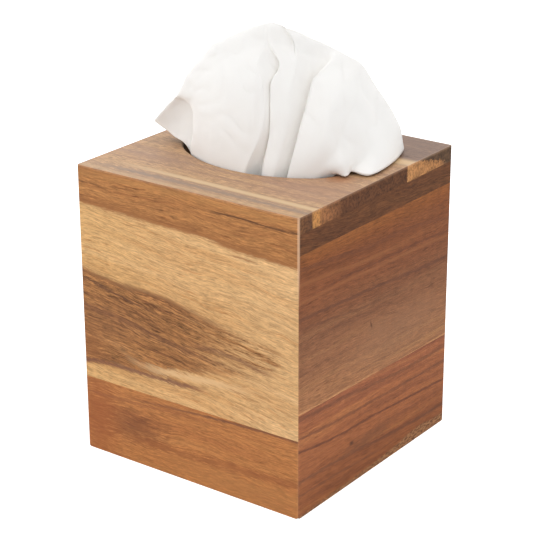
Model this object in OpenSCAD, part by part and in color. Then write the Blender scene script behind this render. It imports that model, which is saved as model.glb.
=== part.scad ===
// Wooden tissue box: an open-bottomed square cover of edge-glued staves that stands over a
// card carton of tissues. The origin is at the middle of its foot, +Z is up, the front face
// looks along -Y and the right face along +X. All sizes are in millimetres.

/* [Box] */
// Outside width and depth of the square box
box_w = 130; // [122:1:170]
// Height inside the box left free above the carton
head_room = 15; // [8:1:50]
// Thickness of the four side boards
side_t = 8; // [5:0.5:9]
// Thickness of the top board, which lies over the side boards
top_t = 8; // [5:0.5:10]
// Radius of the eased upright and top edges
edge_ease = 0.8; // [0.4:0.1:1.4]
// Radius of the eased foot edges
foot_ease = 1.8; // [0.8:0.1:3]

/* [Opening] */
// Length of the oval opening, from left to right
hole_l = 92.8; // [88:0.2:100]
// Width of the oval opening, from front to back
hole_w = 57.4; // [52:0.2:66]
// Size of the broken edge round the opening
hole_ease = 0.6; // [0.2:0.1:1.2]

/* [Staves] */
// Width of the top's front stave at its left end
top_front_left = 13; // [8:0.5:16]
// Width of the top's front stave at its right end
top_front_right = 11; // [8:0.5:16]
// Width of the top's back stave
top_back_w = 41; // [30:0.5:50]
// Height of the front's lower stave at the left corner
front_line_left = 39.4; // [30:0.1:70]
// Height of the front's lower stave at the right corner
front_line_right = 40.7; // [30:0.1:70]
// Height of the right side's lower stave at the front corner
right_line_front = 53.8; // [30:0.1:70]
// Height of the right side's lower stave at the back corner
right_line_back = 48.9; // [30:0.1:70]
// Width of the right side's narrow upper stave at the front corner
right_strip_front = 10; // [6:0.1:30]
// Width of the right side's narrow upper stave at the back corner
right_strip_back = 11.2; // [6:0.1:30]
// Height of the back's lower stave
back_line = 61; // [30:0.5:90]
// Height of the left side's lower stave
left_line = 33; // [20:0.5:50]
// Width of the left side's upper stave
left_strip = 47; // [20:0.5:60]

/* [Tissues] */
// Height of the card carton, which the box's own height follows
carton_h = 127; // [115:1:180]
// Thickness of the carton's card
card_t = 0.5; // [0.3:0.1:0.8]
// Gap between the carton and the side boards
carton_gap = 0.8; // [0.4:0.1:0.9]
// How far the carton's opening stays inside the wooden one, all round
card_lap = 6; // [3:0.5:9]
// Height of the carton that the stack of folded tissues leaves free
stack_room = 15; // [8:0.5:35]
// Gap between the stack and the carton's sides
stack_gap = 0.9; // [0.4:0.1:0.9]
// Thickness of the pulled-up sheet, with its two plies lying open
sheet_t = 0.3; // [0.2:0.05:0.4]
// Gap between the sheet's ends and the stack that they come from
sheet_gap = 0.3; // [0.2:0.05:0.6]

/* [Hidden] */
$fn = 96;

// Levels and half sizes that follow from the sizes above
half_w = box_w / 2;
wall_h = carton_h + head_room;
box_h = wall_h + top_t;
inside_w = box_w - 2 * side_t;
carton_w = inside_w - 2 * carton_gap;
stack_w = carton_w - 2 * card_t - 2 * stack_gap;
stack_top = carton_h - stack_room;
stack_h = stack_top - card_t;
overcut = 1;

// Pairs of heights or depths, at a board's left and right end seen from outside
foot_line = [0, 0];
wall_line = [wall_h, wall_h];
front_line = [front_line_left, front_line_right];
right_line = [right_line_front, right_line_back];
right_high = [wall_h - right_strip_front, wall_h - right_strip_back];
back_pair = [back_line, back_line];
left_pair = [left_line, left_line];
left_high = [wall_h - left_strip, wall_h - left_strip];
top_near = [-half_w, -half_w];
top_first = [-half_w + top_front_left, -half_w + top_front_right];
top_second = [half_w - top_back_w, half_w - top_back_w];
top_far = [half_w, half_w];

// Colours of the staves, the card and the tissue
tan_wood = [0.72, 0.52, 0.36];
red_wood = [0.58, 0.33, 0.19];
gold_wood = [0.78, 0.55, 0.32];
dark_wood = [0.36, 0.22, 0.14];
card_grey = [0.85, 0.84, 0.8];
tissue_white = [0.96, 0.95, 0.94];

// Rectangle standing on the X axis, its lower corners rounded by low_r and its upper by high_r
module eased_rectangle(w, h, low_r, high_r) {
    translate([-w / 2, low_r])
        square([w, h - low_r - high_r]);
    translate([-w / 2 + low_r, 0])
        square([w - 2 * low_r, h / 2]);
    translate([-w / 2 + high_r, h / 2])
        square([w - 2 * high_r, h / 2]);
    for (side = [-1, 1]) {
        translate([side * (w / 2 - low_r), low_r])
            circle(low_r);
        translate([side * (w / 2 - high_r), h - high_r])
            circle(high_r);
    }
}

// The whole box as one block with its edges eased
module envelope() {
    intersection() {
        translate([0, -half_w, 0])
            linear_extrude(box_h)
                eased_rectangle(box_w, box_w, edge_ease, edge_ease);
        for (turn = [0, 90])
            rotate([90, 0, turn])
                translate([0, 0, -half_w])
                    linear_extrude(box_w)
                        eased_rectangle(box_w, box_h, foot_ease, edge_ease);
    }
}

// A stave of one side board, between two sloping glue lines and mitred at both corners
module wall_stave(turn, low, high) {
    intersection() {
        envelope();
        rotate([0, 0, turn])
            linear_extrude(wall_h)
                polygon([[-half_w, -half_w], [half_w, -half_w],
                    [half_w - side_t, -half_w + side_t], [-half_w + side_t, -half_w + side_t]]);
        rotate([0, 0, turn])
            translate([0, -half_w + side_t, 0])
                rotate([90, 0, 0])
                    linear_extrude(side_t)
                        polygon([[-half_w, low[0]], [half_w, low[1]],
                            [half_w, high[1]], [-half_w, high[0]]]);
    }
}

// Oval of four true arcs that meet on lines of slope 4 to 3, widening from low to high
module oval(l, w, h, low, high) {
    end_r = (3 * w - l) / 4;
    end_x = l / 2 - end_r;
    flank_y = end_x * 4 / 3;
    flank_r = w / 2 + flank_y;
    reach = [0.6, 0.8] * (w + l);
    for (side = [-1, 1]) {
        translate([side * end_x, 0, 0])
            cylinder(h = h, r1 = end_r + low, r2 = end_r + high);
        intersection() {
            translate([0, -side * flank_y, 0])
                cylinder(h = h, r1 = flank_r + low, r2 = flank_r + high);
            linear_extrude(h)
                polygon([[-end_x, 0], [end_x, 0],
                    [end_x + reach.x, side * reach.y], [-end_x - reach.x, side * reach.y]]);
        }
    }
}

// The opening through the top board, its upper edge broken
module opening() {
    translate([0, 0, wall_h - overcut])
        oval(hole_l, hole_w, top_t + 2 * overcut, 0, 0);
    translate([0, 0, box_h - hole_ease])
        oval(hole_l, hole_w, hole_ease + overcut, 0, hole_ease + overcut);
}

// A stave of the top board, from one glue line to the next
module top_stave(near, far) {
    difference() {
        intersection() {
            envelope();
            translate([0, 0, wall_h])
                linear_extrude(top_t)
                    polygon([[-half_w, near[0]], [half_w, near[1]],
                        [half_w, far[1]], [-half_w, far[0]]]);
        }
        opening();
    }
}

module top_front_stave() {
    color(tan_wood)
        top_stave(top_near, top_first);
}

module top_middle_stave() {
    color(tan_wood)
        top_stave(top_first, top_second);
}

module top_back_stave() {
    color(tan_wood)
        top_stave(top_second, top_far);
}

module front_upper_stave() {
    color(gold_wood)
        wall_stave(0, front_line, wall_line);
}

module front_lower_stave() {
    color(red_wood)
        wall_stave(0, foot_line, front_line);
}

module right_upper_stave() {
    color(dark_wood)
        wall_stave(90, right_high, wall_line);
}

module right_middle_stave() {
    color(red_wood)
        wall_stave(90, right_line, right_high);
}

module right_lower_stave() {
    color(red_wood)
        wall_stave(90, foot_line, right_line);
}

module back_upper_stave() {
    color(red_wood)
        wall_stave(180, back_pair, wall_line);
}

module back_lower_stave() {
    color(gold_wood)
        wall_stave(180, foot_line, back_pair);
}

module left_upper_stave() {
    color(red_wood)
        wall_stave(270, left_high, wall_line);
}

module left_middle_stave() {
    color(gold_wood)
        wall_stave(270, left_pair, left_high);
}

module left_lower_stave() {
    color(dark_wood)
        wall_stave(270, foot_line, left_pair);
}

// Card carton with an oval opening in its top, standing inside the box
module tissue_carton() {
    color(card_grey)
        difference() {
            translate([-carton_w / 2, -carton_w / 2, 0])
                cube([carton_w, carton_w, carton_h]);
            translate([card_t - carton_w / 2, card_t - carton_w / 2, card_t])
                cube([carton_w - 2 * card_t, carton_w - 2 * card_t, carton_h - 2 * card_t]);
            translate([0, 0, carton_h - card_t - overcut])
                oval(hole_l - 2 * card_lap, hole_w - 2 * card_lap, card_t + 2 * overcut, 0, 0);
        }
}

// Block of folded tissues on the carton's floor
module tissue_stack() {
    color(tissue_white)
        translate([-stack_w / 2, -stack_w / 2, card_t])
            cube([stack_w, stack_w, stack_h]);
}

// The pulled-up sheet is a net of lines that run from the stack, up through both openings, over
// the ridge and down again. Each point is [across, towards the front corner, above the top].
sheet_turn = 36.2;
// Opening for which the net is drawn; another opening stretches the net with it
net_l = 92.8;
net_w = 57.4;
across_steps = 3;
along_steps = 3;
// Front of each line, from the opening's edge up to the ridge
sheet_front = [
    [[-37.5, -11, -1.5], [-40.5, -13.5, 2], [-45, -19, 3], [-49, -23, 5], [-52.5, -25, 7], [-56, -26, 9.5]],
    [[-36, -8, -2], [-38.5, -11, 3.5], [-41.5, -16, 7], [-45, -20, 11], [-48, -21, 14], [-50.5, -21, 17]],
    [[-34, -5, -2.5], [-33.5, -10, 8], [-33.5, -10, 17.5], [-36.5, -12, 21.5],
        [-41, -14, 23.5], [-45, -15, 24]],
    [[-37, -4, -0.5], [-36, -1, 10.5], [-35.5, 0, 21], [-37, -2, 25.5], [-40.5, -5, 27.5], [-43.5, -9, 27.5]],
    [[-29, 10, 0], [-27.5, 14, 13], [-28, 12, 24], [-30.5, 7, 32], [-34.5, 1, 35.5], [-38, -4, 38.5]],
    [[-20.5, 18.5, 0], [-18, 22, 15.5], [-17, 20, 30], [-19, 14, 42], [-22.5, 7, 48.5], [-25.5, 1, 55.2]],
    [[-14, 23.5, 0], [-9, 26, 17.5], [-6.5, 23, 34], [-7, 17, 46], [-8.5, 10, 54.5], [-11, 3, 62.5]],
    [[-10, 26, 0], [0, 24.5, 22], [-0.5, 19, 41], [-3, 15, 49], [0, 9, 58], [-1.5, 4, 66]],
    [[-6.5, 25, -1.5], [1.7, 21.8, 20.5], [1.2, 16.6, 39.6], [2.2, 12.3, 46.9],
        [0.8, 8.6, 57.6], [0.8, 3.6, 66.2]],
    [[-2.5, 29.5, 0], [2.5, 24, 20.5], [3, 18, 40.5], [6.5, 14, 49], [1.5, 9, 57.5], [3, 3.5, 66]],
    [[0, 31, 0], [5.5, 25, 19.5], [6.5, 18, 38.5], [10, 11.5, 50], [8.5, 6, 57.5], [6, 2.5, 65.2]],
    [[3.5, 32, 0], [9, 25.5, 19], [11.5, 19.5, 37], [14, 15, 48.5], [12.5, 11, 57], [9.5, 4, 64]],
    [[6.5, 33, 0], [12.5, 25, 16.5], [16, 18, 33], [18.5, 13, 43], [20, 8, 51], [19, 3, 59.5]],
    [[11, 28.5, -1.5], [16.5, 24, 15.8], [21, 17.5, 30.5], [24.3, 12, 40], [28.8, 8, 47.2], [30, 2.6, 54]],
    [[9.5, 33.5, 0], [14, 28.5, 17], [18.5, 22, 32], [21.5, 17, 42], [28.5, 11, 47.5], [36.5, 3, 51]],
    [[17, 34.5, 0], [24, 33, 15.5], [29.5, 27, 29], [35, 20, 38], [40.5, 11, 42.5], [45, 1, 45.5]],
    [[22.5, 34.5, 0], [30.5, 33, 10.5], [37.5, 27, 18.5], [43.5, 20, 25], [49.5, 11, 28], [55.5, 0, 29]],
    [[27, 33, 0], [34.5, 35, 6], [42.5, 28, 8], [50.5, 23, 10], [57.5, 13, 11.5], [63.6, 0, 15]],
    [[31.8, 31.5, 0.6], [36.7, 35.8, 1], [39.4, 33.4, 2.6], [47.9, 35.5, 1], [60.2, 20, 1.6], [68, 0, 3.2]]
];
// Back of each line, from just behind the ridge down into the opening
sheet_back = [
    [[-52, -28.5, 6.5], [-45, -27, 3], [-36, -22, -1.5]],
    [[-49, -26, 15], [-44, -29, 10], [-34, -22, -2]],
    [[-44, -22, 21], [-40, -27, 13], [-31, -20, -2]],
    [[-41, -20, 25], [-37, -27, 17], [-28, -21, -2]],
    [[-37, -18, 31], [-32, -23, 18], [-24, -16, 0]],
    [[-27, -15, 38], [-25, -22, 20], [-18, -15, 0]],
    [[-14, -12, 42], [-17, -16, 20], [-13, -8, 0]],
    [[-5, -12, 44], [-9, -17, 20], [-8, -8, 0]],
    [[-1, -8, 44], [-4, -12, 20], [-5, -3, 0]],
    [[3, -11, 44], [0, -15, 20], [-2, -4, 0]],
    [[7, -11, 43], [4, -14, 19], [1, 0, 0]],
    [[11, -12, 42], [9, -16, 19], [4, -1, 0]],
    [[19, -12, 40], [15, -15, 18], [8, 3, 0]],
    [[28, -8, 36], [21, -10, 17], [12, 6, 0]],
    [[34, -12, 35], [27, -14, 16], [15, 8, 0]],
    [[43, -13, 31], [34, -15, 14], [19, 11, 0]],
    [[52, -12, 20], [42, -15, 11], [23, 15, 0]],
    [[60, -10, 11], [48, -13, 7], [27, 20, 0]],
    [[63, -8, 3], [52, -6, 2.5], [30, 24, 0.5]]
];
// Below the opening the sheet gathers towards this point. Each level is the share of the spread
// that is left there, how deep the pleats between the lines are, and its height.
gather_at = [-4.7, 6.5];
gather = [
    [0.86, 1, -top_t - 5],
    [0.6, 1.5, carton_h - box_h - 1],
    [0.45, 3, stack_top + sheet_gap - box_h]
];

// Slope at b on the way from a to c, short where the spans differ or the way turns back
function slope(a, b, c) =
    let (u = b - a, w = c - b)
    (u * norm(w) + w * norm(u)) / (norm(u) + norm(w));

function slopes(pts) =
    let (last = len(pts) - 1)
    [for (i = [0:last])
        i == 0 ? pts[1] - pts[0]
        : i == last ? pts[last] - pts[last - 1]
        : slope(pts[i - 1], pts[i], pts[i + 1])];

// Point at the share t of the smooth span from p to q with slopes m and n
function span_point(p, q, m, n, t) =
    (2 * t ^ 3 - 3 * t ^ 2 + 1) * p + (t ^ 3 - 2 * t ^ 2 + t) * m
    + (3 * t ^ 2 - 2 * t ^ 3) * q + (t ^ 3 - t ^ 2) * n;

function smooth_line(pts, steps) =
    let (m = slopes(pts), last = len(pts) - 1)
    concat([for (i = [0:last - 1], k = [0:steps - 1])
        span_point(pts[i], pts[i + 1], m[i], m[i + 1], k / steps)], [pts[last]]);

// Points of line i below the opening's edge point p, from the edge down
function tail(p, i) =
    let (
        spread = [p.x, p.y] - gather_at,
        out = spread / norm(spread) * (i % 2 == 0 ? 1 : -1)
    )
    [for (g = gather)
        let (flat = gather_at + spread * g[0] + out * g[1])
        [flat.x, flat.y, g[2]]];

function reversed(list) = [for (i = [len(list) - 1:-1:0]) list[i]];

// From across and towards the front corner to the box's own axes
function on_box(p) = [
    (p.x * cos(sheet_turn) + p.y * sin(sheet_turn)) * hole_l / net_l,
    (p.x * sin(sheet_turn) - p.y * cos(sheet_turn)) * hole_w / net_w,
    p.z + box_h
];

function net_line(i) =
    let (front = sheet_front[i], back = sheet_back[i])
    [for (p = concat(reversed(tail(front[0], i)), front, back, tail(back[len(back) - 1], i)))
        on_box(p)];

function net_normal(net, i, j) =
    let (
        across = net[min(i + 1, len(net) - 1)][j] - net[max(i - 1, 0)][j],
        along = net[i][min(j + 1, len(net[i]) - 1)] - net[i][max(j - 1, 0)],
        out = cross(along, across)
    )
    out / norm(out);

// Closed sheet of thickness t about a net of points
module thick_sheet(net, t) {
    n = len(net);
    m = len(net[0]);
    top = [for (i = [0:n - 1], j = [0:m - 1]) net[i][j] + net_normal(net, i, j) * t / 2];
    low = [for (i = [0:n - 1], j = [0:m - 1]) net[i][j] - net_normal(net, i, j) * t / 2];
    rim = concat([for (j = [0:m - 1]) j], [for (i = [1:n - 1]) i * m + m - 1],
        [for (j = [m - 2:-1:0]) (n - 1) * m + j], [for (i = [n - 2:-1:1]) i * m]);
    polyhedron(
        points = concat(top, low),
        faces = concat(
            [for (i = [0:n - 2], j = [0:m - 2], half = [0, 1])
                let (a = i * m + j)
                half == 0 ? [a, a + 1, a + m] : [a + 1, a + m + 1, a + m]],
            [for (i = [0:n - 2], j = [0:m - 2], half = [0, 1])
                let (a = n * m + i * m + j)
                half == 0 ? [a, a + m, a + 1] : [a + 1, a + m, a + m + 1]],
            [for (k = [0:len(rim) - 1], half = [0, 1])
                let (a = rim[k], b = rim[(k + 1) % len(rim)], under = n * m)
                half == 0 ? [a, a + under, b] : [b, a + under, b + under]]
        )
    );
}

// Sheet of tissue drawn up through both openings
module tissue_sheet() {
    lines = [for (i = [0:len(sheet_front) - 1]) smooth_line(net_line(i), along_steps)];
    rows = [for (j = [0:len(lines[0]) - 1])
        smooth_line([for (line = lines) line[j]], across_steps)];
    color(tissue_white)
        thick_sheet(rows, sheet_t);
}

top_front_stave();
top_middle_stave();
top_back_stave();
front_upper_stave();
front_lower_stave();
right_upper_stave();
right_middle_stave();
right_lower_stave();
back_upper_stave();
back_lower_stave();
left_upper_stave();
left_middle_stave();
left_lower_stave();
tissue_carton();
tissue_stack();
tissue_sheet();
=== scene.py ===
import math

import bpy
import numpy as np
from mathutils import Matrix, Vector, noise


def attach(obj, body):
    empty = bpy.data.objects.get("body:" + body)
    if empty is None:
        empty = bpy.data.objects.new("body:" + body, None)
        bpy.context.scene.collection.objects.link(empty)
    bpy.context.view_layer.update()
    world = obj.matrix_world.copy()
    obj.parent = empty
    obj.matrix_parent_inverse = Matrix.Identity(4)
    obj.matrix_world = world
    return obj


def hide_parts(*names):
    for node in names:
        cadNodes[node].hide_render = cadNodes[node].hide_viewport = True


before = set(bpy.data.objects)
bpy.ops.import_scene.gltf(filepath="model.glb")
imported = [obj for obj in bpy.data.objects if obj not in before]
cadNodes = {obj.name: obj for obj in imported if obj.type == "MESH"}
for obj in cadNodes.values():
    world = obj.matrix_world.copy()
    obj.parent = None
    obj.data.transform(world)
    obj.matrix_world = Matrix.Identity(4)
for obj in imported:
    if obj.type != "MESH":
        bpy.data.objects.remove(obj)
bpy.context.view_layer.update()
millimetre = 0.001
perMetre = 1000.0
print("frame loaded:", len(cadNodes), "nodes")


# Node helpers

def addNode(tree, kind, inputs=None, **settings):
    item = tree.nodes.new(kind)
    for name, value in settings.items():
        setattr(item, name, value)
    for key, value in (inputs or {}).items():
        socket = item.inputs[key]
        if isinstance(value, bpy.types.NodeSocket):
            tree.links.new(value, socket)
        elif socket.type == "RGBA" and len(value) == 3:
            socket.default_value = (*value, 1.0)
        else:
            socket.default_value = value
    return item


def calc(tree, operation, a, b=0.0, c=0.0, clamp=False):
    item = addNode(tree, "ShaderNodeMath", {0: a, 1: b, 2: c}, operation=operation, use_clamp=clamp)
    return item.outputs[0]


def times(tree, a, b, clamp=False):
    return calc(tree, "MULTIPLY", a, b, clamp=clamp)


def plus(tree, a, b):
    return calc(tree, "ADD", a, b)


def minus(tree, a, b, clamp=False):
    return calc(tree, "SUBTRACT", a, b, clamp=clamp)


def timesPlus(tree, a, b, c, clamp=False):
    return calc(tree, "MULTIPLY_ADD", a, b, c, clamp)


def softStep(tree, value, low, high):
    # 0 at low, 1 at high, smooth between; low may be the larger of the two
    item = addNode(tree, "ShaderNodeMapRange", {"Value": value, "From Min": low, "From Max": high},
                   interpolation_type="SMOOTHSTEP")
    return item.outputs["Result"]


def mixColor(tree, share, a, b, mode="MIX"):
    item = addNode(tree, "ShaderNodeMix", {0: share, 6: a, 7: b}, data_type="RGBA", blend_type=mode)
    return item.outputs[2]


def joinVector(tree, x, y, z):
    return addNode(tree, "ShaderNodeCombineXYZ", {0: x, 1: y, 2: z}).outputs[0]


def noiseAt(tree, vector, scale, detail=2.0, roughness=0.5):
    inputs = {"Vector": vector, "Scale": scale, "Detail": detail, "Roughness": roughness}
    return addNode(tree, "ShaderNodeTexNoise", inputs, noise_dimensions="3D").outputs["Fac"]


def stretched(tree, vector, along, across, depth):
    # the pattern's size along the grain, across it and into the board, in cycles per millimetre
    return addNode(tree, "ShaderNodeVectorMath", {0: vector, 1: (along, across, depth)},
                   operation="MULTIPLY").outputs[0]


def colorStops(tree, value, stops):
    item = addNode(tree, "ShaderNodeValToRGB", {"Fac": value})
    ramp = item.color_ramp
    while len(ramp.elements) < len(stops):
        ramp.elements.new(0.5)
    for element, (place, color) in zip(ramp.elements, stops):
        element.position = place
        element.color = (*color, 1.0)
    return item.outputs["Color"]


def curveAcross(tree, value, points, span):
    # height of a drawn line over a board coordinate that runs from -span to span, in millimetres
    heights = [p[1] for p in points]
    low, high = min(heights) - 1, max(heights) + 1
    share = timesPlus(tree, value, 0.5 / span, 0.5, clamp=True)
    item = addNode(tree, "ShaderNodeFloatCurve", {"Value": share})
    curve = item.mapping.curves[0]
    while len(curve.points) < len(points):
        curve.points.new(0.5, 0.5)
    for spot, (x, y) in zip(curve.points, points):
        spot.location = (0.5 + 0.5 * x / span, (y - low) / (high - low))
    item.mapping.update()
    return timesPlus(tree, item.outputs[0], high - low, low)


def scaled(tree, color, share):
    return addNode(tree, "ShaderNodeVectorMath", {0: color, "Scale": share}, operation="SCALE").outputs[0]


def centred(tree, value):
    return minus(tree, value, 0.5)


def newMaterial(name):
    material = bpy.data.materials.new(name)
    material.use_nodes = True
    tree = material.node_tree
    return material, tree, tree.nodes["Principled BSDF"]


def addBump(tree, surface, strength, distance, height):
    bump = addNode(tree, "ShaderNodeBump", {"Strength": strength, "Distance": distance, "Height": height})
    tree.links.new(bump.outputs[0], surface.inputs["Normal"])


def linkNew(name, data):
    obj = bpy.data.objects.new(name, data)
    bpy.context.scene.collection.objects.link(obj)
    return obj


def newGroup(name, inputs, outputs):
    tree = bpy.data.node_groups.new(name, "ShaderNodeTree")
    for label, kind, value in inputs:
        socket = tree.interface.new_socket(name=label, in_out="INPUT", socket_type=kind)
        if value is not None:
            socket.default_value = value
    for label, kind in outputs:
        tree.interface.new_socket(name=label, in_out="OUTPUT", socket_type=kind)
    return tree, tree.nodes.new("NodeGroupInput").outputs, tree.nodes.new("NodeGroupOutput").inputs


# Grain of oiled acacia: broad streaks, fine lines, short fibres, open pores and a painted sheen, a soft cross
# shimmer.
# Its vector is in millimetres: along the grain, across it, and into the board.

# Each layer's size along the grain, across it and into the board, in cycles per millimetre, then its
# detail and roughness
grainLayers = {
    "wander": ((0.012, 0.03, 0.03), 2.0, 0.5),
    "wave": ((0.07, 0.09, 0.05), 2.0, 0.5),
    "broad": ((0.007, 0.17, 0.08), 3.0, 0.55),
    "fine": ((0.026, 0.95, 0.45), 3.0, 0.6),
    "fibre": ((0.2, 1.9, 1.1), 2.0, 0.75),
    "dash": ((0.12, 1.2, 0.7), 1.0, 0.5),
    "place": ((0.03, 0.1, 0.1), 2.0, 0.5),
    "sheenRipple": ((0.3, 0.07, 0.1), 2.0, 0.5),
}


def grainLayer(tree, vector, name):
    size, detail, roughness = grainLayers[name]
    return noiseAt(tree, stretched(tree, vector, *size), 1.0, detail, roughness)


def buildGrainGroup():
    tree, given, out = newGroup("acaciaGrain", [
        ("Vector", "NodeSocketVector", None),
        ("Base", "NodeSocketColor", (0.5, 0.3, 0.15, 1)),
        ("Dark", "NodeSocketColor", (0.3, 0.15, 0.07, 1)),
        ("Pale", "NodeSocketColor", (0.6, 0.4, 0.2, 1)),
        ("Streaks", "NodeSocketFloat", 0.6),
        ("Lines", "NodeSocketFloat", 0.3),
        ("Fibres", "NodeSocketFloat", 0.4),
        ("Pores", "NodeSocketFloat", 0.4),
        ("Sheen", "NodeSocketFloat", 0.1),
    ], [("Color", "NodeSocketColor"), ("Relief", "NodeSocketFloat"), ("Streak", "NodeSocketFloat"),
        ("Fibre", "NodeSocketFloat")])
    vector = given["Vector"]
    wander = grainLayer(tree, vector, "wander")
    wave = grainLayer(tree, vector, "wave")
    shift = timesPlus(tree, wander, 12.0, times(tree, wave, 2.4))
    bent = addNode(tree, "ShaderNodeVectorMath", {0: vector, 1: joinVector(tree, 0.0, shift, 0.0)},
                   operation="ADD").outputs[0]
    broad = grainLayer(tree, bent, "broad")
    fine = grainLayer(tree, bent, "fine")
    fibre = grainLayer(tree, bent, "fibre")
    dash = grainLayer(tree, bent, "dash")
    place = grainLayer(tree, bent, "place")
    sheenRipple = grainLayer(tree, vector, "sheenRipple")
    streak = softStep(tree, broad, 0.5, 0.68)
    light = softStep(tree, broad, 0.48, 0.32)
    line = softStep(tree, fine, 0.5, 0.68)
    pore = times(tree, softStep(tree, dash, 0.6, 0.72), softStep(tree, place, 0.4, 0.62))
    color = mixColor(tree, times(tree, streak, given["Streaks"]), given["Base"], given["Dark"])
    color = mixColor(tree, times(tree, light, given["Streaks"]), color, given["Pale"])
    color = mixColor(tree, times(tree, line, given["Lines"]), color, given["Dark"])
    color = mixColor(tree, times(tree, pore, given["Pores"]), color, given["Dark"], "MULTIPLY")
    # painted sheen: a slow ripple lifts and lowers the colour across the grain
    lift = timesPlus(tree, centred(tree, sheenRipple), given["Sheen"], 1.0)
    hatch = times(tree, centred(tree, fibre), given["Fibres"])
    lift = timesPlus(tree, hatch, 2.0, lift)
    tree.links.new(scaled(tree, color, lift), out["Color"])
    dent = timesPlus(tree, pore, -1.0, times(tree, fibre, 0.5))
    tree.links.new(dent, out["Relief"])
    tree.links.new(broad, out["Streak"])
    tree.links.new(fibre, out["Fibre"])
    return tree


grainGroup = buildGrainGroup()


def grain(tree, vector, look):
    item = addNode(tree, "ShaderNodeGroup", None, node_tree=grainGroup)
    tree.links.new(vector, item.inputs["Vector"])
    for label in ("Base", "Dark", "Pale"):
        item.inputs[label].default_value = (*look[label.lower()], 1.0)
    for label in ("Streaks", "Lines", "Fibres", "Pores", "Sheen"):
        item.inputs[label].default_value = look[label.lower()]
    return item.outputs


# Woods seen on the box, as linear colours

woods = {
    "gold": {"base": (0.63, 0.37, 0.158), "dark": (0.52, 0.27, 0.10), "pale": (0.69, 0.425, 0.2),
             "streaks": 0.5, "lines": 0.55, "fibres": 0.8, "pores": 0.4, "sheen": 0.14},
    "band": {"base": (0.41, 0.175, 0.053), "dark": (0.28, 0.105, 0.032), "pale": (0.47, 0.215, 0.068),
             "streaks": 0.55, "lines": 0.75, "fibres": 1.0, "pores": 0.45, "sheen": 0.15},
    "figure": {"base": (0.345, 0.149, 0.047), "dark": (0.195, 0.075, 0.026), "pale": (0.48, 0.225, 0.08),
               "streaks": 0.55, "lines": 0.95, "fibres": 1.6, "pores": 0.6, "sheen": 0.3},
    "orange": {"base": (0.445, 0.175, 0.0515), "dark": (0.35, 0.122, 0.038), "pale": (0.495, 0.215, 0.068),
               "streaks": 0.5, "lines": 0.5, "fibres": 0.85, "pores": 0.3, "sheen": 0.12},
    "umber": {"base": (0.155, 0.056, 0.019), "dark": (0.118, 0.04, 0.0155), "pale": (0.188, 0.072, 0.0245),
              "streaks": 0.4, "lines": 0.4, "fibres": 1.15, "pores": 0.4, "sheen": 0.2},
    "red": {"base": (0.31, 0.108, 0.042), "dark": (0.22, 0.076, 0.034), "pale": (0.385, 0.152, 0.054),
            "streaks": 0.7, "lines": 0.6, "fibres": 0.66, "pores": 0.3, "sheen": 0.2},
    "russet": {"base": (0.305, 0.106, 0.041), "dark": (0.22, 0.074, 0.032), "pale": (0.36, 0.137, 0.05),
               "streaks": 0.45, "lines": 0.45, "fibres": 0.85, "pores": 0.3, "sheen": 0.25},
    "tan": {"base": (0.485, 0.288, 0.149), "dark": (0.36, 0.204, 0.123), "pale": (0.57, 0.365, 0.196),
            "streaks": 0.6, "lines": 0.65, "fibres": 1.1, "pores": 0.3, "sheen": 0.25},
    "ash": {"base": (0.226, 0.131, 0.086), "dark": (0.176, 0.101, 0.07), "pale": (0.27, 0.163, 0.108),
            "streaks": 0.6, "lines": 0.55, "fibres": 0.75, "pores": 0.3, "sheen": 0.15},
}

# How each face of the box is laid out: which axis runs along the grain, across it and into the board

faces = {
    "front": ("X", 1, "Z", 1, "Y"),
    "right": ("Y", 1, "Z", 1, "X"),
    "back": ("X", -1, "Z", 1, "Y"),
    "left": ("Y", -1, "Z", 1, "X"),
    "top": ("X", 1, "Y", 1, "Z"),
}
boxSize = {"half": 65.0, "height": 150.0, "holeLength": 92.8, "holeWidth": 57.4}


def boardAxes(tree, face):
    alongAxis, alongSign, acrossAxis, acrossSign, depthAxis = faces[face]
    place = addNode(tree, "ShaderNodeTexCoord").outputs["Object"]
    parts = addNode(tree, "ShaderNodeSeparateXYZ", {0: place}).outputs
    along = times(tree, parts[alongAxis], perMetre * alongSign)
    across = times(tree, parts[acrossAxis], perMetre * acrossSign)
    depth = times(tree, parts[depthAxis], perMetre)
    return {"along": along, "across": across, "depth": depth, "place": place}


def tilted(tree, axes, slope, seed, tight=1.0):
    # board vector whose grain falls by slope for each millimetre along; tight packs it closer
    drop = times(tree, axes["along"], slope)
    across = times(tree, minus(tree, axes["across"], drop), tight)
    return joinVector(tree, plus(tree, axes["along"], seed), across, axes["depth"])


# Painted highlights on the eased edges: where the highlight starts and is full, in metres in from the sharp
# edge, and between which heights the upright one fades towards the foot
edgeGlint = {"uprightStart": 0.0011, "uprightFull": 0.0005, "fadeLow": 0.105, "fadeHigh": 0.132,
        "fadeGain": 0.92, "least": 0.08, "edgeStart": 0.0012, "edgeFull": 0.0003}


def cornerMasks(tree, place):
    # 1 on the front upright corner and 1 on the eased top edge, where the painted highlights go
    parts = addNode(tree, "ShaderNodeSeparateXYZ", {0: place}).outputs
    x = calc(tree, "ABSOLUTE", parts["X"])
    y = calc(tree, "ABSOLUTE", parts["Y"])
    reach = 2 * boxSize["half"] * millimetre
    corner = minus(tree, parts["X"], parts["Y"])
    fade = softStep(tree, parts["Z"], edgeGlint["fadeLow"], edgeGlint["fadeHigh"])
    upright = times(tree,
                    softStep(tree, corner, reach - edgeGlint["uprightStart"], reach - edgeGlint["uprightFull"]),
                    timesPlus(tree, fade, edgeGlint["fadeGain"], edgeGlint["least"]))
    rise = plus(tree, calc(tree, "MAXIMUM", x, y), parts["Z"])
    edge = (boxSize["half"] + boxSize["height"]) * millimetre
    return upright, softStep(tree, rise, edge - edgeGlint["edgeStart"], edge - edgeGlint["edgeFull"])


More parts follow.
